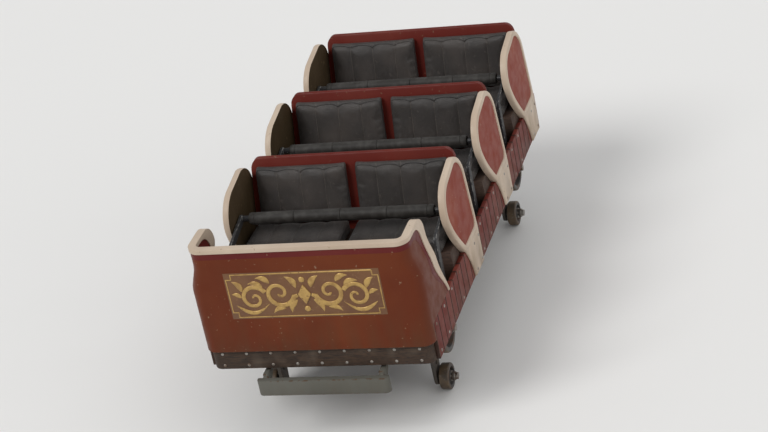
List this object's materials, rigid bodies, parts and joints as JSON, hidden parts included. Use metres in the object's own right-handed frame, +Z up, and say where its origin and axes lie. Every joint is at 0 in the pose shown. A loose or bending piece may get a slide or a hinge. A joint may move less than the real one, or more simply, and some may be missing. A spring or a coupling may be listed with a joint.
{
  "type": "roller coaster car",
  "caption": "Lead car of a wooden coaster train: flat nose, scalloped sides with seat wings, bench rows with lap bars, and running, guide and up-stop wheels.",
  "frame": {"origin": "middle of the car's length and width, at the lowest point of the up-stop wheels", "axes": "-Y is the way the car faces, +X is its left side, +Z is up"},
  "size_m": [1.328, 3, 1.23],
  "materials": {
    "frame_steel": "dark paint, dusty",
    "axle_steel": "dark paint, greasy",
    "bumper_paint": "pale grey paint",
    "bare_steel": "worn bright",
    "deck_wood": "worn plywood",
    "apron_wood": "dark stained",
    "red_paint": "painted plywood, satin",
    "nose_paint": "moulded shell, satin gloss",
    "cream_paint": "moulded panel, satin gloss",
    "wing_field": "painted field, dusty",
    "gold_leaf": "gilt ornament",
    "tyre": "hard urethane",
    "sleeve": "rubber sleeve",
    "seat_wood": "dark painted plywood",
    "upholstery": "dark vinyl",
    "bar_paint": "black paint and rubber sleeve",
    "wheel": "cast hub, hard tyre"
  },
  "bodies": {
    "chassis": {"frame_rails": "frame_steel", "cross_members": "frame_steel", "front_axle": "axle_steel", "rear_axle": "axle_steel", "floor_deck": "deck_wood", "side_panel_left": "red_paint", "side_panel_right": "red_paint", "nose_shell": "nose_paint", "nose_trim": "cream_paint", "front_apron": "apron_wood", "front_bumper": "bumper_paint", "rear_panel": "red_paint", "drawbar": "axle_steel", "brake_fins": "bare_steel", "wing_left_1": "cream_paint", "wing_left_2": "cream_paint", "wing_left_3": "cream_paint", "wing_right_1": "cream_paint", "wing_right_2": "cream_paint", "wing_right_3": "cream_paint", "seat_bases": "seat_wood", "seat_backs": "red_paint", "cushions_1": "upholstery", "cushions_2": "upholstery", "cushions_3": "upholstery", "back_pads_1": "upholstery", "back_pads_2": "upholstery", "back_pads_3": "upholstery"},
    "chain_dog": {"chain_dog": "axle_steel"},
    "lap_bar_1": {"lap_bar_1": "bar_paint"},
    "lap_bar_2": {"lap_bar_2": "bar_paint"},
    "lap_bar_3": {"lap_bar_3": "bar_paint"},
    "run_wheel_fl": {"run_wheel_fl": "wheel"},
    "run_wheel_fr": {"run_wheel_fr": "wheel"},
    "run_wheel_rl": {"run_wheel_rl": "wheel"},
    "run_wheel_rr": {"run_wheel_rr": "wheel"},
    "stop_wheel_fl": {"stop_wheel_fl": "wheel"},
    "stop_wheel_fr": {"stop_wheel_fr": "wheel"},
    "stop_wheel_rl": {"stop_wheel_rl": "wheel"},
    "stop_wheel_rr": {"stop_wheel_rr": "wheel"},
    "guide_wheel_fl": {"guide_wheel_fl": "wheel"},
    "guide_wheel_fr": {"guide_wheel_fr": "wheel"},
    "guide_wheel_rl": {"guide_wheel_rl": "wheel"},
    "guide_wheel_rr": {"guide_wheel_rr": "wheel"}
  },
  "joints": [
    {"name": "lap_bar_1_swing", "type": "hinge", "parent": "chassis", "child": "lap_bar_1", "pos_m": [0, -0.91, 0.642], "axis": [1, 0, 0], "range_deg": [0, 45]},
    {"name": "lap_bar_2_swing", "type": "hinge", "parent": "chassis", "child": "lap_bar_2", "pos_m": [0, -0.09, 0.642], "axis": [1, 0, 0], "range_deg": [0, 45]},
    {"name": "lap_bar_3_swing", "type": "hinge", "parent": "chassis", "child": "lap_bar_3", "pos_m": [0, 0.73, 0.642], "axis": [1, 0, 0], "range_deg": [0, 45]},
    {"name": "run_wheel_fl_turn", "type": "hinge", "parent": "chassis", "child": "run_wheel_fl", "pos_m": [0.535, -0.93, 0.39], "axis": [1, 0, 0], "continuous": true},
    {"name": "stop_wheel_fl_turn", "type": "hinge", "parent": "chassis", "child": "stop_wheel_fl", "pos_m": [0.507, -0.93, 0.075], "axis": [1, 0, 0], "continuous": true},
    {"name": "guide_wheel_fl_turn", "type": "hinge", "parent": "chassis", "child": "guide_wheel_fl", "pos_m": [0.398, -0.78, 0.2025], "axis": [0, 0, 1], "continuous": true},
    {"name": "run_wheel_fr_turn", "type": "hinge", "parent": "chassis", "child": "run_wheel_fr", "pos_m": [-0.535, -0.93, 0.39], "axis": [1, 0, 0], "continuous": true},
    {"name": "stop_wheel_fr_turn", "type": "hinge", "parent": "chassis", "child": "stop_wheel_fr", "pos_m": [-0.507, -0.93, 0.075], "axis": [1, 0, 0], "continuous": true},
    {"name": "guide_wheel_fr_turn", "type": "hinge", "parent": "chassis", "child": "guide_wheel_fr", "pos_m": [-0.398, -0.78, 0.2025], "axis": [0, 0, 1], "continuous": true},
    {"name": "run_wheel_rl_turn", "type": "hinge", "parent": "chassis", "child": "run_wheel_rl", "pos_m": [0.535, 0.93, 0.39], "axis": [1, 0, 0], "continuous": true},
    {"name": "stop_wheel_rl_turn", "type": "hinge", "parent": "chassis", "child": "stop_wheel_rl", "pos_m": [0.507, 0.93, 0.075], "axis": [1, 0, 0], "continuous": true},
    {"name": "guide_wheel_rl_turn", "type": "hinge", "parent": "chassis", "child": "guide_wheel_rl", "pos_m": [0.398, 0.78, 0.2025], "axis": [0, 0, 1], "continuous": true},
    {"name": "run_wheel_rr_turn", "type": "hinge", "parent": "chassis", "child": "run_wheel_rr", "pos_m": [-0.535, 0.93, 0.39], "axis": [1, 0, 0], "continuous": true},
    {"name": "stop_wheel_rr_turn", "type": "hinge", "parent": "chassis", "child": "stop_wheel_rr", "pos_m": [-0.507, 0.93, 0.075], "axis": [1, 0, 0], "continuous": true},
    {"name": "guide_wheel_rr_turn", "type": "hinge", "parent": "chassis", "child": "guide_wheel_rr", "pos_m": [-0.398, 0.78, 0.2025], "axis": [0, 0, 1], "continuous": true},
    {"name": "chain_dog_lift", "type": "hinge", "parent": "chassis", "child": "chain_dog", "pos_m": [0, -0.37, 0.43], "axis": [1, 0, 0], "range_deg": [0, 25]}
  ]
}
